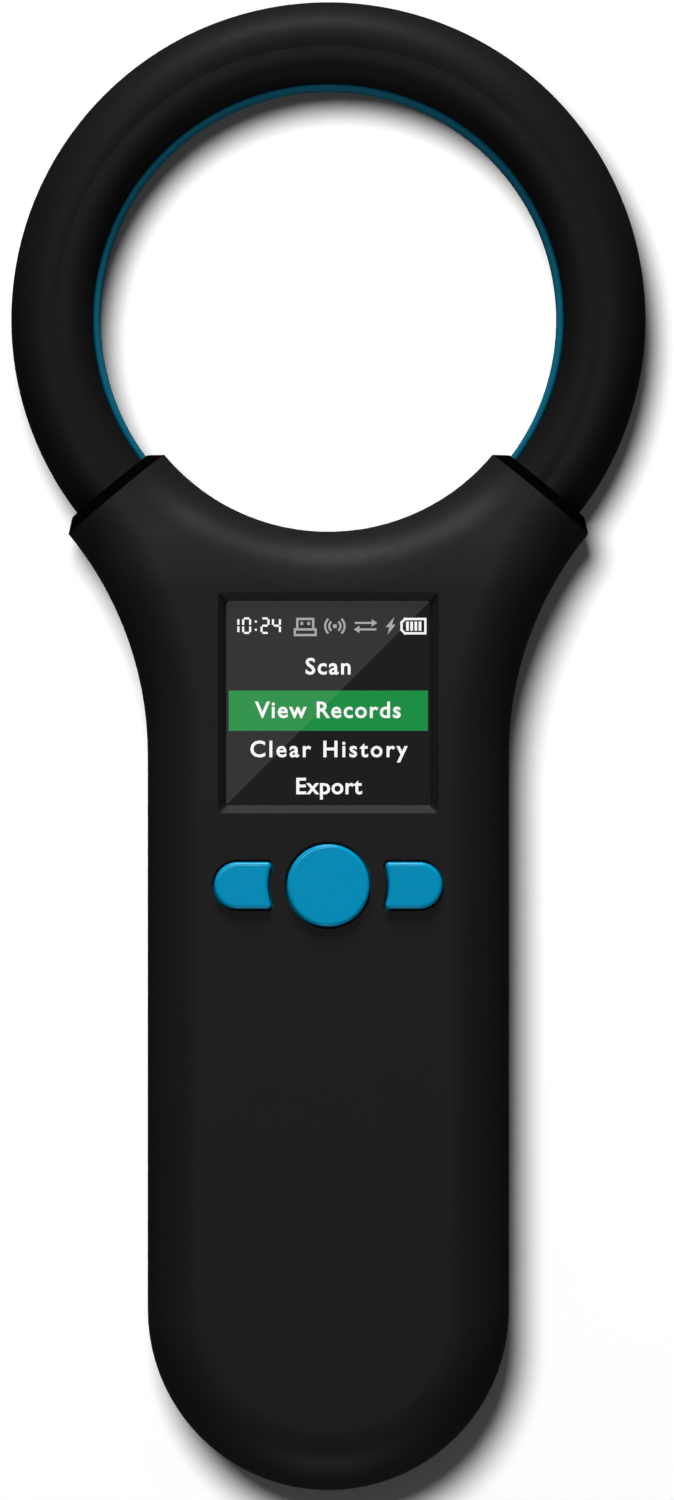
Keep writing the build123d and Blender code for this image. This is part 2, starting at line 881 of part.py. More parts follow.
def display_gasket():
    """The foam frame between the window and the panel."""
    outer = window_size - 2 * gasket_inset
    opening = view_size + 2 * gasket_inset
    with BuildPart() as gasket:
        with BuildSketch(Plane.XY.offset(gasket_z)):
            with Locations((0, display_y)):
                Rectangle(outer, outer)
                Rectangle(opening, opening, mode=Mode.SUBTRACT)
        extrude(amount=gasket_thickness)
    save(gasket, "display_gasket")


def display_panel():
    """The display module: a shallow tray with its glass on top."""
    with BuildPart() as panel:
        with BuildSketch(Plane.XY.offset(panel_z)):
            with Locations((0, panel_y)):
                Rectangle(panel_width, panel_length)
        extrude(amount=panel_thickness - glass_thickness)
        with BuildSketch(Plane.XY.offset(gasket_z - glass_thickness)):
            with Locations((0, panel_y)):
                Rectangle(panel_width - 2 * glass_margin, panel_length - 2 * glass_margin)
        extrude(amount=glass_thickness)
    save(panel, "display_panel")


def display_carrier():
    """The frame that holds the display module off the board, open where its cable passes."""
    opening = panel_width - 2 * carrier_rim
    with BuildPart() as carrier:
        with BuildSketch(Plane.XY.offset(carrier_z)):
            with Locations((0, panel_y)):
                Rectangle(panel_width + 2 * carrier_margin, panel_length)
                Rectangle(opening, opening, mode=Mode.SUBTRACT)
            with Locations((0, panel_end_y)):
                Rectangle(ribbon_width + 2 * hole_gap, 2 * carrier_rim, mode=Mode.SUBTRACT)
        extrude(amount=carrier_thickness)
    save(carrier, "display_carrier")


def display_ribbon():
    """The flat cable that turns under the panel's end and runs back to its socket."""
    upper_z = panel_z + ribbon_thickness
    lower_z = upper_z - 2 * ribbon_bend_r
    bend_y = panel_end_y - ribbon_thickness
    with BuildPart() as ribbon:
        with BuildSketch(Plane.YZ.offset(-ribbon_width / 2)):
            with BuildLine():
                Line((panel_end_y, upper_z), (bend_y, upper_z))
                CenterArc((bend_y, upper_z - ribbon_bend_r), ribbon_bend_r, 90, 180)
                Line((bend_y, lower_z), (connector_y - connector_length / 2, lower_z))
            trace(line_width=ribbon_thickness)
        extrude(amount=ribbon_width)
    save(ribbon, "display_ribbon")


def display_connector():
    """The socket on the board that takes the display's flat cable."""
    with BuildPart() as connector:
        with BuildSketch(Plane.XY.offset(carrier_z)):
            with Locations((0, connector_y)):
                Rectangle(connector_width, connector_length)
        extrude(amount=carrier_thickness - seam_gap)
    save(connector, "display_connector")


# ---------------------------------------------------------------- keys


def key_cap(name):
    """One key: a cap that stands proud of the front, and a flange that stays behind it."""
    with BuildPart() as cap:
        with BuildSketch(Plane.XY.offset(key_bottom_z)):
            add(key_outline(name, 0))
        extrude(amount=body_depth + key_proud - key_bottom_z)
        fillet(cap.faces().sort_by(Axis.Z)[-1].edges(), radius=key_edge_round)
        with BuildSketch(Plane.XY.offset(key_bottom_z)):
            add(key_outline(name, key_flange))
        extrude(amount=key_flange_thickness)
    save(cap, f"{name}_key")


def key_post(name, kind, bottom_z, top_z):
    """A round post under one key, between two heights."""
    with BuildPart() as post:
        with BuildSketch(Plane.XY.offset(bottom_z)):
            with Locations((key_xs[name], keys_y)):
                Circle(plunger_rs[name])
        extrude(amount=top_z - bottom_z)
    save(post, f"{name}_{kind}")


def key_dome(name):
    """The rubber skirt round one plunger, which gives when the key is pressed."""
    height = key_bottom_z - dome_gap - carrier_z
    foot_inner_r = dome_foot_r - dome_wall
    top_inner_r = dome_top_r - dome_wall
    with BuildPart() as dome:
        with Locations((key_xs[name], keys_y, carrier_z)):
            Cone(dome_foot_r, dome_top_r, height, align=standing)
            Cone(foot_inner_r, top_inner_r, height, align=standing, mode=Mode.SUBTRACT)
    save(dome, f"{name}_dome")


def key_mat():
    """The rubber sheet that lies on the board round the three domes."""
    with BuildPart() as mat:
        with BuildSketch(Plane.XY.offset(carrier_z)):
            with Locations((0, keys_y)):
                Rectangle(2 * (side_key_reach + mat_margin), 2 * (dome_foot_r + mat_margin))
            with Locations(key_places):
                Circle(dome_foot_r + dome_gap, mode=Mode.SUBTRACT)
        extrude(amount=mat_thickness)
    save(mat, "key_mat")


def key_contact_pads():
    """The contacts on the board under the three keys."""
    with BuildPart() as pads:
        with BuildSketch(Plane.XY.offset(carrier_z)):
            with Locations(key_places):
                Circle(pad_r)
        extrude(amount=pad_thickness)
    save(pads, "key_contact_pads")


# ---------------------------------------------------------------- main board


def main_board():
    """The circuit board, narrower in the neck, with holes for the bosses and its screws."""
    wide = handle_width - 2 * wall - 2 * board_edge_gap
    with BuildPart() as board:
        with BuildSketch(Plane.XY.offset(board_z)):
            with Locations((0, (board_end_y + board_neck_y) / 2)):
                Rectangle(wide, board_neck_y - board_end_y)
            with Locations((0, (board_end_y + board_top_y) / 2)):
                Rectangle(board_neck_width, board_top_y - board_end_y)
            with Locations(case_screw_places):
                Circle(front_boss_r + hole_gap, mode=Mode.SUBTRACT)
            with Locations(board_post_places):
                Circle(board_screw_r + slide_gap, mode=Mode.SUBTRACT)
        extrude(amount=board_thickness)
    save(board, "main_board")


def under_board(name, size, place):
    """A plain component that hangs under the main board, with its lower edges broken."""
    width, length, height = size
    with BuildPart() as component:
        with BuildSketch(Plane.XY.offset(board_z)):
            with Locations(place):
                Rectangle(width, length)
        extrude(amount=-height)
        chamfer(component.faces().sort_by(Axis.Z)[0].edges(), length=seam_gap)
    save(component, name)


def radio_shield():
    """The metal can over the radio's chips, clear of its antenna end."""
    with BuildPart() as can:
        with BuildSketch(Plane.XY.offset(board_z - radio_thickness)):
            with Locations((radio_x, radio_y - radio_antenna_length / 2)):
                Rectangle(
                    radio_width - 2 * radio_can_margin,
                    radio_length - radio_antenna_length - 2 * radio_can_margin,
                )
        extrude(amount=-radio_can_height)
        fillet(can.edges().filter_by(Axis.Z), radius=radio_can_margin)
    save(can, "radio_shield")


def board_passives():
    """Rows of small resistors and capacitors under the board."""
    with BuildPart() as passives:
        with BuildSketch(Plane.XY.offset(board_z)):
            with Locations((0, speaker_y)):
                with GridLocations(*passive_pitch, *passive_counts):
                    Rectangle(*passive_size)
        extrude(amount=-passive_height)
    save(passives, "board_passives")


def screw_set(name, places, seat_z, way, head, shank):
    """Screws with a cross slot. Each pair is a radius and a length; the shank points one way."""
    head_r, head_height = head
    shank_r, shank_length = shank
    with BuildPart() as screws:
        with BuildSketch(Plane.XY.offset(seat_z)):
            with Locations(places):
                Circle(head_r)
        extrude(amount=-way * head_height)
        with BuildSketch(Plane.XY.offset(seat_z)):
            with Locations(places):
                Circle(shank_r)
        extrude(amount=way * shank_length)
        with BuildSketch(Plane.XY.offset(seat_z - way * head_height)):
            with Locations(places):
                Rectangle(slot_length_share * head_r, slot_width_share * head_r)
                Rectangle(slot_width_share * head_r, slot_length_share * head_r)
        extrude(amount=way * head_height / 2, mode=Mode.SUBTRACT)
    save(screws, name)


# ---------------------------------------------------------------- battery and speaker


def battery_cell():
    """The pouch cell."""
    with BuildPart() as cell:
        with BuildSketch(Plane.XY.offset(battery_z)):
            with Locations((0, battery_y)):
                Rectangle(battery_width, battery_length)
        extrude(amount=battery_thickness)
        fillet(cell.edges().filter_by(Axis.Y), radius=battery_round)
    save(cell, "battery_cell")


def battery_pad():
    """The foam strip under the cell."""
    with BuildPart() as pad:
        with BuildSketch(Plane.XY.offset(wall)):
            with Locations((0, battery_y)):
                Rectangle(
                    battery_width - 2 * battery_pad_inset, battery_length - 2 * battery_pad_inset
                )
        extrude(amount=battery_pad_thickness)
    save(pad, "battery_pad")


def speaker_frame():
    """The speaker's can, open towards the grille."""
    with BuildPart() as frame:
        with BuildSketch(Plane.XY.offset(wall)):
            with Locations((0, speaker_y)):
                Circle(speaker_r)
        extrude(amount=speaker_height)
        with BuildSketch(Plane.XY.offset(wall)):
            with Locations((0, speaker_y)):
                Circle(speaker_r - cradle_wall)
        extrude(amount=speaker_height / 2, mode=Mode.SUBTRACT)
    save(frame, "speaker_frame")


def speaker_cone():
    """The speaker's shallow diaphragm, against the roof of its can."""
    rim_r = speaker_r - cradle_wall - seam_gap
    seat_z = wall + speaker_height / 2 - speaker_cone_depth
    with BuildPart() as cone:
        with Locations((0, speaker_y, seat_z)):
            Cone(rim_r, speaker_dust_cap_r, speaker_cone_depth, align=standing)
    save(cone, "speaker_cone")


# ---------------------------------------------------------------- charging port


def usb_socket():
    """The metal shell of the charging socket, closed at its back."""
    with BuildPart() as socket:
        with BuildSketch(port_plane(usb_front_y)):
            SlotOverall(usb_width, usb_height)
        extrude(amount=usb_depth)
        with BuildSketch(port_plane(usb_front_y)):
            SlotOverall(usb_width - 2 * usb_metal, usb_height - 2 * usb_metal)
        extrude(amount=usb_depth - usb_metal, mode=Mode.SUBTRACT)
    save(socket, "usb_socket")


def usb_tongue():
    """The contact tongue that stands out from the socket's back."""
    with BuildPart() as tongue:
        with BuildSketch(port_plane(usb_front_y + usb_tongue_inset)):
            Rectangle(usb_tongue_width, usb_tongue_thickness)
        extrude(amount=usb_depth - usb_metal - usb_tongue_inset)
    save(tongue, "usb_tongue")


def usb_board():
    """The small board under the charging socket."""
    with BuildPart() as board:
        with BuildSketch(Plane.XY.offset(usb_board_z)):
            with Locations((0, (usb_board_front_y + usb_board_back_y) / 2)):
                Rectangle(usb_board_width, usb_board_length)
            with Locations(usb_post_places):
                Circle(usb_screw_r + slide_gap, mode=Mode.SUBTRACT)
        extrude(amount=usb_board_thickness)
    save(board, "usb_board")


def usb_harness():
    """The flat cable from the port's board, over the battery, to its plug on the main board."""
    start_z = usb_board_z + usb_board_thickness / 2
    over_z = battery_front_z + harness_lift
    turn_y = usb_board_back_y + harness_run
    plug_end_y = harness_plug_y - plug_length / 2
    with BuildPart() as harness:
        with BuildLine() as route:
            FilletPolyline(
                (0, usb_board_back_y, start_z),
                (0, turn_y, start_z),
                (0, turn_y + harness_run, over_z),
                (0, plug_end_y - 2 * harness_run, over_z),
                (0, plug_end_y - harness_run, harness_plug_z),
                (0, plug_end_y, harness_plug_z),
                radius=harness_bend_r,
            )
        with BuildSketch(Plane(origin=route.line @ 0, x_dir=(1, 0, 0), z_dir=route.line % 0)):
            Rectangle(harness_width, harness_thickness)
        sweep(path=route.line)
    save(harness, "usb_harness")


# ---------------------------------------------------------------- build every sub-part

os.makedirs("parts", exist_ok=True)

front_shell()
back_shell()
ring_front_shell()
ring_back_shell()
ring_inner_band()
collar_seals()

coil_former()
antenna_coil()
coil_leads()

display_window()
display_gasket()
display_panel()
display_carrier()
display_ribbon()
display_connector()

for key in key_xs:
    key_cap(key)
    key_post(key, "plunger", plunger_z, key_bottom_z)
    key_post(key, "pill", pill_z, plunger_z)
    key_dome(key)
key_mat()
key_contact_pads()

main_board()
under_board("processor_chip", processor_size, (processor_x, board_end_y + processor_rise))
under_board("memory_chip", memory_size, (memory_x, board_end_y + memory_rise))
under_board("reader_chip", reader_size, (reader_x, antenna_plug_y))
under_board("crystal_can", crystal_size, (crystal_x, antenna_plug_y))
under_board("radio_module", radio_size, (radio_x, radio_y))
radio_shield()
board_passives()
under_board("antenna_plug", plug_size, (antenna_plug_x, antenna_plug_y))
under_board("battery_plug", plug_size, (battery_plug_x, battery_plug_y))
under_board("harness_plug", harness_plug_size, (0, harness_plug_y))

battery_cell()
battery_pad()
battery_leads()
speaker_frame()
speaker_cone()
speaker_leads()

usb_board()
usb_socket()
usb_tongue()
usb_harness()

screw_set(
    "case_screws",
    case_screw_places,
    screw_recess_depth,
    1,
    (screw_head_r, screw_head_height),
    (screw_shank_r, screw_length),
)
screw_set(
    "board_screws",
    board_post_places,
    board_z,
    1,
    (board_screw_head_r, board_screw_head),
    (board_screw_r, board_screw_length),
)
screw_set(
    "usb_board_screws",
    usb_post_places,
    usb_board_top_z,
    -1,
    (usb_screw_head_r, usb_screw_head),
    (usb_screw_r, usb_screw_length),
)
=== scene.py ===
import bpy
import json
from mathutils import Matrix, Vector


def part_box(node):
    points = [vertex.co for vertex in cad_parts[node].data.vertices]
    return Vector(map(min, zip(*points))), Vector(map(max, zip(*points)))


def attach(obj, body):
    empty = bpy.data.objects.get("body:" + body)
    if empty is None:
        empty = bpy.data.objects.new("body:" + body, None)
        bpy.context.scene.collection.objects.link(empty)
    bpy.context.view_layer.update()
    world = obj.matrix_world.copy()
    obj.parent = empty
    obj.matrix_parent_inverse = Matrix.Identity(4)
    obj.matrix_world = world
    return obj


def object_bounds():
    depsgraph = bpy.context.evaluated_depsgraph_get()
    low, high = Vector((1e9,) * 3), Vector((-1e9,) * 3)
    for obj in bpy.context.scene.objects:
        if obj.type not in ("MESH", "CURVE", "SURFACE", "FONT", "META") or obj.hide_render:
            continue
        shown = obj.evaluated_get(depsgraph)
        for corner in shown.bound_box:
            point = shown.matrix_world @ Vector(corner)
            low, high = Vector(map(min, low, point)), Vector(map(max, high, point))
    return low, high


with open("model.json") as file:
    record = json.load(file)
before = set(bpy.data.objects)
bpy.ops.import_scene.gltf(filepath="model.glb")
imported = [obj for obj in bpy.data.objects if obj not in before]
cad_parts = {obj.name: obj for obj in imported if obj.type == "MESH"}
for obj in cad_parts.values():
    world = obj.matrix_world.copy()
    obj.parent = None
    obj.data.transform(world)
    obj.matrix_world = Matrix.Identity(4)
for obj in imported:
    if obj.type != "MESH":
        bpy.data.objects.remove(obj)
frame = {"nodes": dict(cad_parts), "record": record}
cad_box = [list(corner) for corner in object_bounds()]

import json
from math import cos, radians, sin

import bmesh
import bpy
from mathutils import Vector

# A hand-held reader for animal microchips, lying on its back on a plain white floor.
# Everything is in metres, in the frame of the CAD model: +Z is up, +Y points to the ring.

MM = 0.001
ROOT = "reader_body"

low, high = (Vector(corner) for corner in cad_box)
length = high.y - low.y
middle = (low + high) / 2

window_low, window_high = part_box("display_window")
bezel_lap = 1.7 * MM
screen_half = (window_high.x - window_low.x) / 2 - bezel_lap
screen_centre = (window_low + window_high) / 2
screen_z = window_high.z
film = 0.02 * MM
film_foot = 0.1 * film
dot_pitch = 0.11 * MM
dot_gap = 0.008 * MM


# ---------------------------------------------------------------- camera, floor and light


camera_height = 10 * length
shift_right = 0.0058
shift_down = 0.0030
frame_height = 1.0094
camera_place = Vector((
    middle.x + shift_right * length,
    middle.y - shift_down * length,
    middle.z + camera_height,
))


def add_camera():
    """A long lens straight over the object, which fills the frame's height."""
    data = bpy.data.cameras.new("camera")
    data.lens = data.sensor_width * camera_height / (frame_height * length)
    camera = bpy.data.objects.new("camera", data)
    camera.location = camera_place
    bpy.context.scene.collection.objects.link(camera)
    bpy.context.scene.camera = camera


floor_gap = 0.05 * MM


def add_floor():
    """A white floor far wider than the object."""
    mesh = bpy.data.meshes.new("floor")
    reach = 30 * length
    corners = [(-reach, -reach, 0), (reach, -reach, 0), (reach, reach, 0), (-reach, reach, 0)]
    mesh.from_pydata(corners, [], [(0, 1, 2, 3)])
    floor = bpy.data.objects.new("floor", mesh)
    floor.location.z = low.z - floor_gap
    bpy.context.scene.collection.objects.link(floor)
    material, shader = new_material("floor_white")
    shader.inputs["Base Color"].default_value = (0.86, 0.86, 0.86, 1)
    shader.inputs["Roughness"].default_value = 0.9
    shader.inputs["Specular IOR Level"].default_value = 0.0
    mesh.materials.append(material)
    floor.visible_glossy = False


def add_softbox(name, azimuth, elevation, distance, width, height, power):
    """A soft light that faces the object. Azimuth 0 is along +X and 90 along +Y."""
    data = bpy.data.lights.new(name, "AREA")
    data.shape = "ELLIPSE"
    data.size = width
    data.size_y = height
    data.energy = power
    light = bpy.data.objects.new(name, data)
    level = distance * cos(radians(elevation))
    offset = Vector((
        level * cos(radians(azimuth)),
        level * sin(radians(azimuth)),
        distance * sin(radians(elevation)),
    ))
    light.location = middle + offset
    light.rotation_euler = offset.to_track_quat("Z", "Y").to_euler()
    bpy.context.scene.collection.objects.link(light)
    return light


def light_only(light, things):
    """Keeps a light to a few things, so it shapes them and leaves the floor as it is."""
    lit = bpy.data.collections.new(light.name + "_receivers")
    for thing in things:
        lit.objects.link(thing)
    light.light_linking.receiver_collection = lit


def add_reflection_card():
    """A dim card high over the display. Its slanting edge shows as the glare on the window."""
    rise = 2 * camera_height
    reach = screen_half + bezel_lap
    spread_out = 1 + rise / (camera_place.z - screen_z)
    corners = []
    for x, y in ((-reach, -reach), (reach, reach), (-reach, reach)):
        place = Vector((screen_centre.x + x, screen_centre.y + y))
        place = camera_place.xy + (place - camera_place.xy) * spread_out
        corners.append((*place, screen_z + rise))
    mesh = bpy.data.meshes.new("reflection_card")
    mesh.from_pydata(corners, [], [(0, 1, 2)])
    card = bpy.data.objects.new("reflection_card", mesh)
    card.visible_shadow = False
    card.visible_diffuse = False
    bpy.context.scene.collection.objects.link(card)
    material, shader = new_material("card_glow")
    shader.inputs["Base Color"].default_value = (0, 0, 0, 1)
    shader.inputs["Emission Color"].default_value = (1, 1, 1, 1)
    shader.inputs["Emission Strength"].default_value = 0.65
    mesh.materials.append(material)


def light_scene():
    world = bpy.data.worlds.new("studio")
    world.use_nodes = True
    background = world.node_tree.nodes["Background"]
    background.inputs["Color"].default_value = (1, 1, 1, 1)
    background.inputs["Strength"].default_value = 0.08
    bpy.context.scene.world = world
    key_size = 1.65 * length
    add_softbox("key_light", 117, 75.5, 6 * length, key_size, key_size, power=18)
    for name, azimuth, elevation, power in (("top_strip", 93, 22, 38), ("low_strip", -90, 25, 7)):
        strip_size = (2.2 * length, 1.5 * length)
        strip = add_softbox(name, azimuth, elevation, 4 * length, *strip_size, power)
        light_only(strip, frame["nodes"].values())
    add_reflection_card()
    bpy.context.scene.view_settings.view_transform = "Standard"


# ---------------------------------------------------------------- materials


def new_material(name):
    """An empty node material and its shader."""
    material = bpy.data.materials.new(name)
    material.use_nodes = True
    return material, material.node_tree.nodes["Principled BSDF"]


def noise(material, scale, detail=2.0):
    """A noise pattern in the object's own metres. Scale is its grains per metre."""
    tree = material.node_tree
    place = tree.nodes.new("ShaderNodeTexCoord")
    pattern = tree.nodes.new("ShaderNodeTexNoise")
    pattern.inputs["Scale"].default_value = scale
    pattern.inputs["Detail"].default_value = detail
    tree.links.new(place.outputs["Object"], pattern.inputs["Vector"])
    return pattern.outputs["Fac"]


def spread(material, value, lowest, highest):
    """The value, which runs from 0 to 1, moved to another range."""
    tree = material.node_tree
    node = tree.nodes.new("ShaderNodeMapRange")
    node.inputs["From Min"].default_value = 0.3
    node.inputs["From Max"].default_value = 0.7
    node.inputs["To Min"].default_value = lowest
    node.inputs["To Max"].default_value = highest
    tree.links.new(value, node.inputs["Value"])
    return node.outputs["Result"]


def blend_colours(material, factor, first, second):
    """A colour that goes from the first to the second with a factor."""
    tree = material.node_tree
    node = tree.nodes.new("ShaderNodeMix")
    node.data_type = "RGBA"
    node.inputs["A"].default_value = (*first, 1)
    node.inputs["B"].default_value = (*second, 1)
    tree.links.new(factor, node.inputs["Factor"])
    return node.outputs["Result"]


def bump(material, shader, height, distance, strength=1.0, edge=0.0):
    """Fine relief on the surface, with its sharp edges softened by a small radius."""
    tree = material.node_tree
    node = tree.nodes.new("ShaderNodeBump")
    node.inputs["Distance"].default_value = distance
    node.inputs["Strength"].default_value = strength
    tree.links.new(height, node.inputs["Height"])
    if edge:
        bevel = tree.nodes.new("ShaderNodeBevel")
        bevel.samples = 4
        bevel.inputs["Radius"].default_value = edge
        tree.links.new(bevel.outputs["Normal"], node.inputs["Normal"])
    tree.links.new(node.outputs["Normal"], shader.inputs["Normal"])


# How fine each pattern is, in grains per metre.
patches = 60
gloss_patches = 900
plastic_grain = 5500
tarnish = 400
scratches = 3000
fine_scratches = 9000
copper_areas = 350
glass_patches = 80
glass_smears = 300


def moulded_plastic(name, colour, roughness, specular, grain=0.012 * MM, edge=0.0):
    """Moulded plastic: a fine even grain, with slow changes in shade and gloss."""
    material, shader = new_material(name)
    tree = material.node_tree
    slow = noise(material, patches)
    lighter = [1.05 * part for part in colour]
    darker = [0.95 * part for part in colour]
    tree.links.new(blend_colours(material, slow, darker, lighter), shader.inputs["Base Color"])
    tree.links.new(
        spread(material, noise(material, gloss_patches), roughness - 0.02, roughness + 0.02),
        shader.inputs["Roughness"],
    )
    shader.inputs["Specular IOR Level"].default_value = specular
    bump(material, shader, noise(material, plastic_grain, 3), grain, 0.25, edge)
    return material


def rubber(name, colour, specular=0.3):
    """Moulded silicone or foam."""
    return moulded_plastic(name, colour, 0.75, specular, 0.02 * MM)


def metal(name, colour, roughness):
    """Plated or brushed metal, with fine scratches."""
    material, shader = new_material(name)
    tree = material.node_tree
    shader.inputs["Metallic"].default_value = 1.0
    darker = [0.85 * part for part in colour]
    tint = blend_colours(material, noise(material, tarnish), darker, colour)
    tree.links.new(tint, shader.inputs["Base Color"])
    tree.links.new(
        spread(material, noise(material, scratches, 4), roughness - 0.07, roughness + 0.07),
        shader.inputs["Roughness"],
    )
    bump(material, shader, noise(material, fine_scratches, 2), 0.004 * MM, 0.5)
    return material


def circuit_board(name):
    """Green board with a pattern of lighter copper areas under the lacquer."""
    material, shader = new_material(name)
    tree = material.node_tree
    place = tree.nodes.new("ShaderNodeTexCoord")
    cells = tree.nodes.new("ShaderNodeTexVoronoi")
    cells.distance = "CHEBYCHEV"
    cells.inputs["Scale"].default_value = copper_areas
    tree.links.new(place.outputs["Object"], cells.inputs["Vector"])
    areas = spread(material, cells.outputs["Distance"], 0, 1)
    tint = blend_colours(material, areas, (0.01, 0.09, 0.03), (0.02, 0.16, 0.06))
    tree.links.new(tint, shader.inputs["Base Color"])
    shader.inputs["Roughness"].default_value = 0.3
    bump(material, shader, areas, 0.02 * MM, 0.4)
    return material


def window_glass(name):
    """The dark window: black glass with the faint even glow of a lit screen behind it."""
    material, shader = new_material(name)
    tree = material.node_tree
    darker, lighter = (0.0015, 0.0015, 0.0016), (0.002, 0.002, 0.002)
    tint = blend_colours(material, noise(material, glass_patches), darker, lighter)
    tree.links.new(tint, shader.inputs["Base Color"])
    shader.inputs["Emission Color"].default_value = (1, 1, 1, 1)
    shader.inputs["Emission Strength"].default_value = 0.0040
    smears = spread(material, noise(material, glass_smears), 0.0, 0.004)
    tree.links.new(smears, shader.inputs["Roughness"])
    shader.inputs["Specular IOR Level"].default_value = 0.5
    return material


def screen_light(name, colour, strength):
    """A lit part of the display, with a fine grid of dots, under the gloss of the window."""
    material, shader = new_material(name)
    tree = material.node_tree
    place = tree.nodes.new("ShaderNodeTexCoord")
    dots = tree.nodes.new("ShaderNodeTexBrick")
    dots.offset = 0.0
    dots.inputs["Color1"].default_value = (*colour, 1)
    dots.inputs["Color2"].default_value = (*colour, 1)
    dots.inputs["Mortar"].default_value = (*[0.8 * part for part in colour], 1)
    dots.inputs["Scale"].default_value = 1.0
    dots.inputs["Brick Width"].default_value = dot_pitch
    dots.inputs["Row Height"].default_value = dot_pitch
    dots.inputs["Mortar Size"].default_value = dot_gap
    tree.links.new(place.outputs["Object"], dots.inputs["Vector"])
    tree.links.new(dots.outputs["Color"], shader.inputs["Emission Color"])
    shader.inputs["Base Color"].default_value = (0.002, 0.002, 0.002, 1)
    shader.inputs["Emission Strength"].default_value = strength
    shader.inputs["Roughness"].default_value = 0.002
    shader.inputs["Specular IOR Level"].default_value = 0.5
    return material


body_black = (0.0024, 0.0024, 0.0024)
ring_black = (0.0016, 0.0016, 0.0016)
soft_edge = 0.12 * MM

materials = {
    "body_plastic": moulded_plastic("body_plastic", body_black, 0.50, 0.02, edge=soft_edge),
    "ring_plastic": moulded_plastic("ring_plastic", ring_black, 0.58, 0.018, edge=soft_edge),
    "band_blue": moulded_plastic("band_blue", (0.0006, 0.026, 0.042), 0.45, 0.01),
    # The collar seal is a real rubber piece, but its colour and its missing gloss are painted
    # shade. The colour is far darker than the other rubbers, so the seal also stands in for the
    # shadow in the joint between ring and collar.
    "seal_rubber": rubber("seal_rubber", (0.0002, 0.0002, 0.0002), 0.0),
    "key_blue": moulded_plastic("key_blue", (0.0, 0.068, 0.123), 0.17, 0.03),
    "window_clear": window_glass("window_clear"),
    "panel_dark": moulded_plastic("panel_dark", (0.01, 0.01, 0.011), 0.2, 0.5),
    "black_foam": rubber("black_foam", (0.02, 0.02, 0.02)),
    "former_plastic": moulded_plastic("former_plastic", (0.02, 0.02, 0.02), 0.5, 0.4),
    "copper_wire": metal("copper_wire", (0.72, 0.36, 0.18), 0.35),
    "wire_skin": rubber("wire_skin", (0.35, 0.02, 0.02)),
    "ribbon_film": moulded_plastic("ribbon_film", (0.45, 0.22, 0.06), 0.35, 0.5),
    "key_rubber": rubber("key_rubber", (0.5, 0.5, 0.5)),
    "carbon_pill": rubber("carbon_pill", (0.01, 0.01, 0.01)),
    "gold_pads": metal("gold_pads", (0.8, 0.6, 0.2), 0.25),
    "board_green": circuit_board("board_green"),
    "chip_black": moulded_plastic("chip_black", (0.012, 0.012, 0.012), 0.6, 0.4),
    "bright_steel": metal("bright_steel", (0.62, 0.62, 0.63), 0.28),
    "passive_tan": moulded_plastic("passive_tan", (0.35, 0.25, 0.15), 0.5, 0.4),
    "plug_white": moulded_plastic("plug_white", (0.7, 0.68, 0.6), 0.45, 0.4),
    "cell_foil": metal("cell_foil", (0.6, 0.6, 0.62), 0.4),
}


def dress_nodes():
    """Each CAD node takes the material of its slot in the record."""
    slots = {part["node"]: part["material_slot"] for part in frame["record"]["subparts"]}
    for name, node in frame["nodes"].items():
        node.data.materials.clear()
        node.data.materials.append(materials[slots[name]])


# ---------------------------------------------------------------- what the display shows

white_light = screen_light("screen_white", (1.0, 1.0, 1.0), 1.0)
grey_light = screen_light("screen_grey", (0.40, 0.40, 0.40), 1.0)
green_light = screen_light("screen_green", (0.0085, 0.279, 0.056), 1.0)


line_width = 0.022
sign_line_width = 0.020


def on_screen(x, y):
    """A place on the window, where the edges of the open display are at -1 and 1."""
    return screen_centre.x + x * screen_half, screen_centre.y + y * screen_half


def add_film(name, outlines, material):
    """Thin flat shapes on the window. Each outline is a closed run of screen places."""
    mesh = bpy.data.meshes.new(name)
    work = bmesh.new()
    for outline in outlines:
        corners = [work.verts.new((*on_screen(x, y), screen_z + film)) for x, y in outline]
        face = work.faces.new(corners)
        if face.normal.z < 0:
            face.normal_flip()
        raised = bmesh.ops.extrude_face_region(work, geom=[face])
        sunk = [part for part in raised["geom"] if isinstance(part, bmesh.types.BMVert)]
        for vertex in sunk:
            vertex.co.z = screen_z + film_foot
    bmesh.ops.recalc_face_normals(work, faces=work.faces)
    work.to_mesh(mesh)
    work.free()
    mesh.materials.append(material)
    piece = bpy.data.objects.new(name, mesh)
    bpy.context.scene.collection.objects.link(piece)
    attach(piece, ROOT)


def stroke(start, end, width, cap=0.0):
    """The outline of a straight stroke between two screen places."""
    a, b = Vector(start), Vector(end)
    along = (b - a).normalized()
    across = Vector((-along.y, along.x)) * width / 2
    a = a - along * cap
    b = b + along * cap
    return [a - across, b - across, b + across, a + across]


def strokes(points, width, closed=False):
    """Strokes along a run of screen places."""
    ends = points[1:] + points[:1] if closed else points[1:]
    return [stroke(a, b, width, width / 2) for a, b in zip(points, ends)]


def arc(centre, radius, start, end, steps=10):
    """Screen places along an arc, between two angles in degrees."""
    angles = [radians(start + (end - start) * step / steps) for step in range(steps + 1)]
    return [(centre[0] + radius * cos(angle), centre[1] + radius * sin(angle)) for angle in angles]


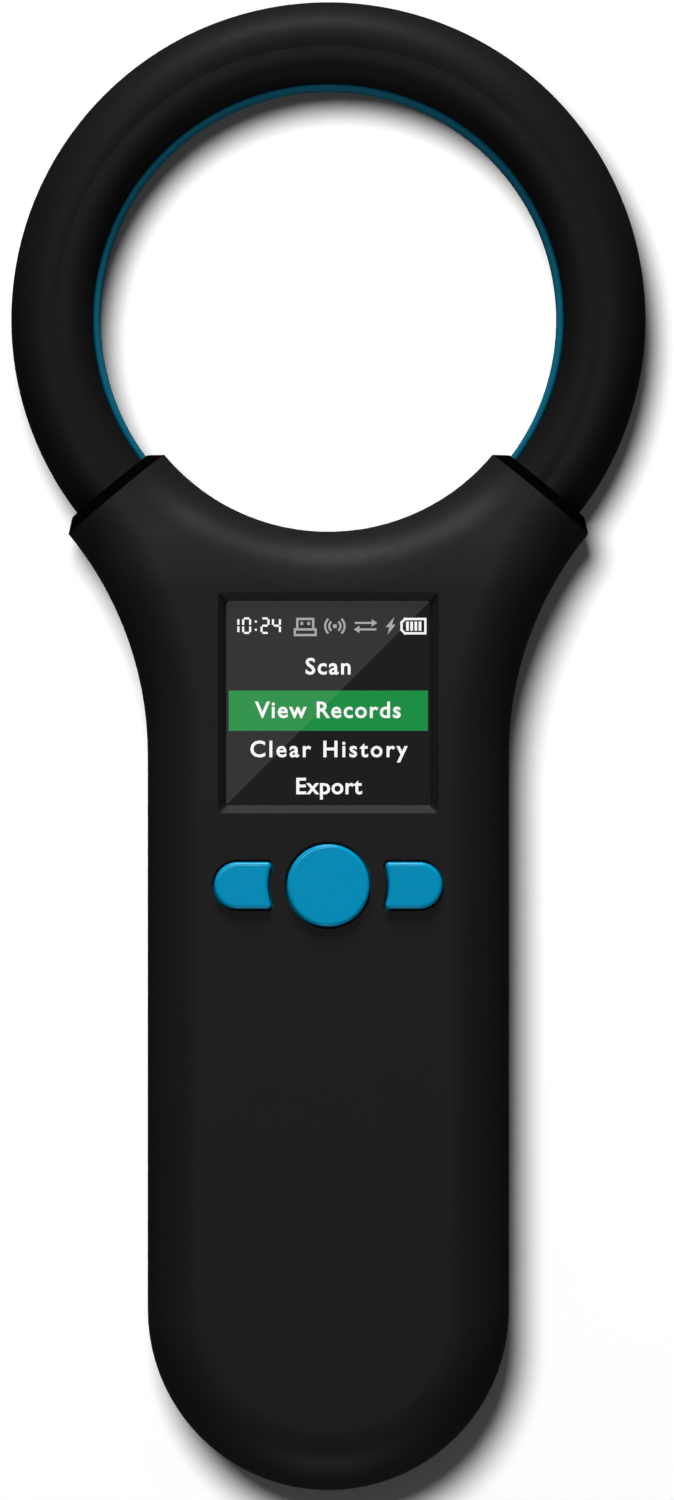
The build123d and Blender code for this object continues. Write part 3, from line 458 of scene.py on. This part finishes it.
def add_clock():
    """Four seven-segment digits and a colon."""
    segments = {"0": "abcdef", "1": "bc", "2": "abged", "4": "fgbc"}
    wide, tall, thick, gap = 0.034, 0.071, sign_line_width, 0.008
    row = 0.757
    shapes = []
    for digit, x in (("1", -0.915), ("0", -0.800), ("2", -0.620), ("4", -0.508)):
        ends = {
            "a": ((x - wide, row + tall), (x + wide, row + tall)),
            "b": ((x + wide, row + tall), (x + wide, row)),
            "c": ((x + wide, row), (x + wide, row - tall)),
            "d": ((x - wide, row - tall), (x + wide, row - tall)),
            "e": ((x - wide, row), (x - wide, row - tall)),
            "f": ((x - wide, row + tall), (x - wide, row)),
            "g": ((x - wide, row), (x + wide, row)),
        }
        for segment in segments[digit]:
            start, end = (Vector(point) for point in ends[segment])
            trim = (end - start).normalized() * gap
            shapes.append(stroke(start + trim, end - trim, thick))
    colon = -0.710
    for y in (row - 0.04, row + 0.04):
        shapes.append(stroke((colon, y - thick / 2), (colon, y + thick / 2), thick))
    add_film("screen_clock", shapes, white_light)


def add_computer_icon():
    """A computer: a screen with two lamps over a wide base."""
    x, y = -0.226, 0.765
    foot, shelf, top = y - 0.10, y - 0.045, y + 0.058
    screen_side, base_side = 0.078, 0.102
    left, right = x - screen_side, x + screen_side
    screen = [(left, shelf), (left, top), (right, top), (right, shelf)]
    left, right = x - base_side, x + base_side
    base = [(left, foot), (left, shelf), (right, shelf), (right, foot)]
    shapes = strokes(screen, line_width) + strokes(base, line_width, closed=True)
    for lamp in (x - 0.034, x + 0.034):
        shapes.append(stroke((lamp - 0.013, y + 0.014), (lamp + 0.013, y + 0.014), 0.030))
    add_film("screen_computer_icon", shapes, grey_light)


def add_radio_icon():
    """A plain wireless sign: a dot with arcs on both sides."""
    x, y = 0.064, 0.752
    shapes = [stroke((x - 0.018, y), (x + 0.018, y), 0.036)]
    for radius in (0.055, 0.095):
        for facing in (0, 180):
            shapes += strokes(arc((x, y), radius, facing - 42, facing + 42), sign_line_width)
    add_film("screen_radio_icon", shapes, grey_light)


def add_data_icon():
    """A plain sign for data going both ways: two opposite arrows."""
    x, y = 0.365, 0.752
    shapes = []
    for side in (-1, 1):
        row = y + side * 0.032
        tip = x + side * 0.115
        shaft = (x - side * 0.105, row), (tip - side * 0.045, row)
        shapes.append(stroke(*shaft, sign_line_width))
        barb = tip - side * 0.055
        shapes.append([(tip, row), (barb, row + 0.036), (barb, row - 0.036)])
    add_film("screen_data_icon", shapes, grey_light)


def add_charge_icon():
    """A small lightning flash."""
    x, y = 0.610, 0.755
    upper = [(x + 0.035, y + 0.085), (x - 0.048, y - 0.012), (x + 0.006, y - 0.012)]
    lower = [(x - 0.030, y - 0.085), (x + 0.048, y + 0.012), (x - 0.006, y + 0.012)]
    add_film("screen_charge_icon", [upper, lower], grey_light)


def add_battery_icon():
    """A battery with four full cells."""
    x, y = 0.835, 0.752
    case = [(x + 0.115, y - 0.07), (x + 0.115, y + 0.07), (x - 0.085, y + 0.07)]
    case += [(x - 0.118, y + 0.035), (x - 0.118, y - 0.035), (x - 0.085, y - 0.07)]
    shapes = strokes(case, line_width, closed=True)
    for cell in range(4):
        cell_x = x - 0.060 + 0.041 * cell
        shapes.append(stroke((cell_x, y - 0.045), (cell_x, y + 0.045), 0.026))
    add_film("screen_battery_icon", shapes, white_light)


def add_menu_bar(row):
    """The bar behind the selected line of the menu."""
    half_width, half_height = 0.975, 0.197
    outline = [
        (-half_width, row - half_height),
        (half_width, row - half_height),
        (half_width, row + half_height),
        (-half_width, row + half_height),
    ]
    add_film("screen_menu_bar", [outline], green_light)


letter_size = 0.225
letter_weight = 0.0040
letter_depth = 0.4 * film
letter_rise = 1.5 * film
mean_letter_width = 0.6


def add_menu_line(name, words, row, width):
    """One line of the menu, set to a width, in heavy letters."""
    curve = bpy.data.curves.new(name, "FONT")
    curve.body = words
    curve.align_x = "CENTER"
    curve.align_y = "CENTER"
    curve.size = letter_size * screen_half
    curve.offset = letter_weight * screen_half
    curve.extrude = letter_depth
    curve.resolution_u = 3
    line = bpy.data.objects.new(name, curve)
    line.location = (*on_screen(0, row), screen_z + letter_rise)
    bpy.context.scene.collection.objects.link(line)
    bpy.context.view_layer.update()
    natural = line.dimensions.x
    gaps = len(words) - 1
    missing = width * screen_half - natural
    curve.space_character = 1 + missing / (gaps * mean_letter_width * curve.size)
    curve.materials.append(white_light)
    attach(line, ROOT)


def add_display():
    """The status row and the menu."""
    add_clock()
    add_computer_icon()
    add_radio_icon()
    add_data_icon()
    add_charge_icon()
    add_battery_icon()
    menu = [
        ("menu_scan", "Scan", 0.350, 0.45),
        ("menu_view", "View Records", -0.076, 1.46),
        ("menu_clear", "Clear History", -0.460, 1.60),
        ("menu_export", "Export", -0.823, 0.65),
    ]
    add_menu_bar(menu[1][2])
    for name, words, row, width in menu:
        add_menu_line("screen_" + name, words, row, width)


add_camera()
add_floor()
light_scene()
dress_nodes()
add_display()
